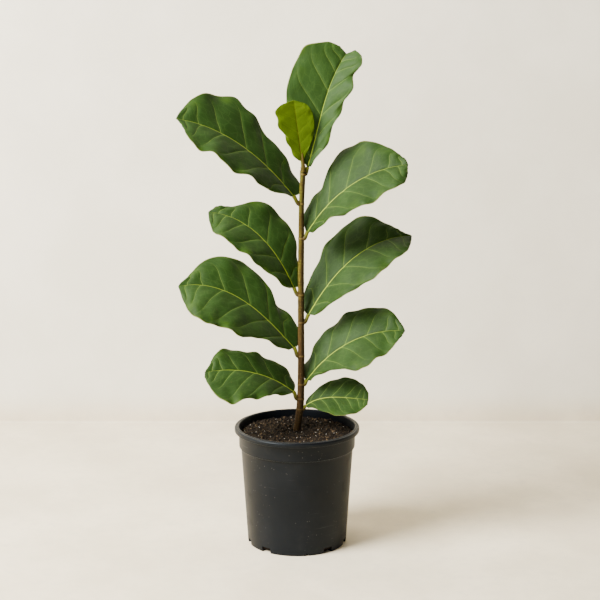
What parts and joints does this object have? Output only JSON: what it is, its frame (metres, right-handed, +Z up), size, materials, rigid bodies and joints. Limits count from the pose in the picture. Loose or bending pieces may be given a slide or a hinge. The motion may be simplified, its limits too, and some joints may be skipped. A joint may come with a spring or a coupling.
{
  "type": "potted live plant",
  "caption": "Fiddle leaf fig with one woody stem and broad leathery leaves, in a charcoal plastic nursery pot of soil.",
  "frame": {"origin": "centre of the pot's underside, on the floor", "axes": "+Z up along the pot, +X to the viewer's right, the plant's leaves spread along X, +Y away from the viewer"},
  "size_m": [0.3044, 0.1686, 0.6727],
  "materials": {
    "pot_plastic": "matte",
    "soil": "matte",
    "bark": "matte",
    "sheath_brown": "matte",
    "leaf_green": "satin",
    "young_green": "satin",
    "stalk_green": "satin"
  },
  "bodies": {
    "root": {"pot": "pot_plastic", "soil": "soil", "stem": "bark", "bud_sheath": "sheath_brown", "leaf_1": "leaf_green", "leaf_1_stalk": "stalk_green", "leaf_2": "leaf_green", "leaf_2_stalk": "stalk_green", "leaf_3": "leaf_green", "leaf_3_stalk": "stalk_green", "leaf_4": "leaf_green", "leaf_4_stalk": "stalk_green", "leaf_5": "leaf_green", "leaf_5_stalk": "stalk_green", "leaf_6": "leaf_green", "leaf_6_stalk": "stalk_green", "leaf_7": "leaf_green", "leaf_7_stalk": "stalk_green", "leaf_8": "leaf_green", "leaf_8_stalk": "stalk_green", "leaf_9": "leaf_green", "leaf_9_stalk": "stalk_green", "young_leaf": "young_green", "young_leaf_stalk": "stalk_green"}
  },
  "joints": []
}
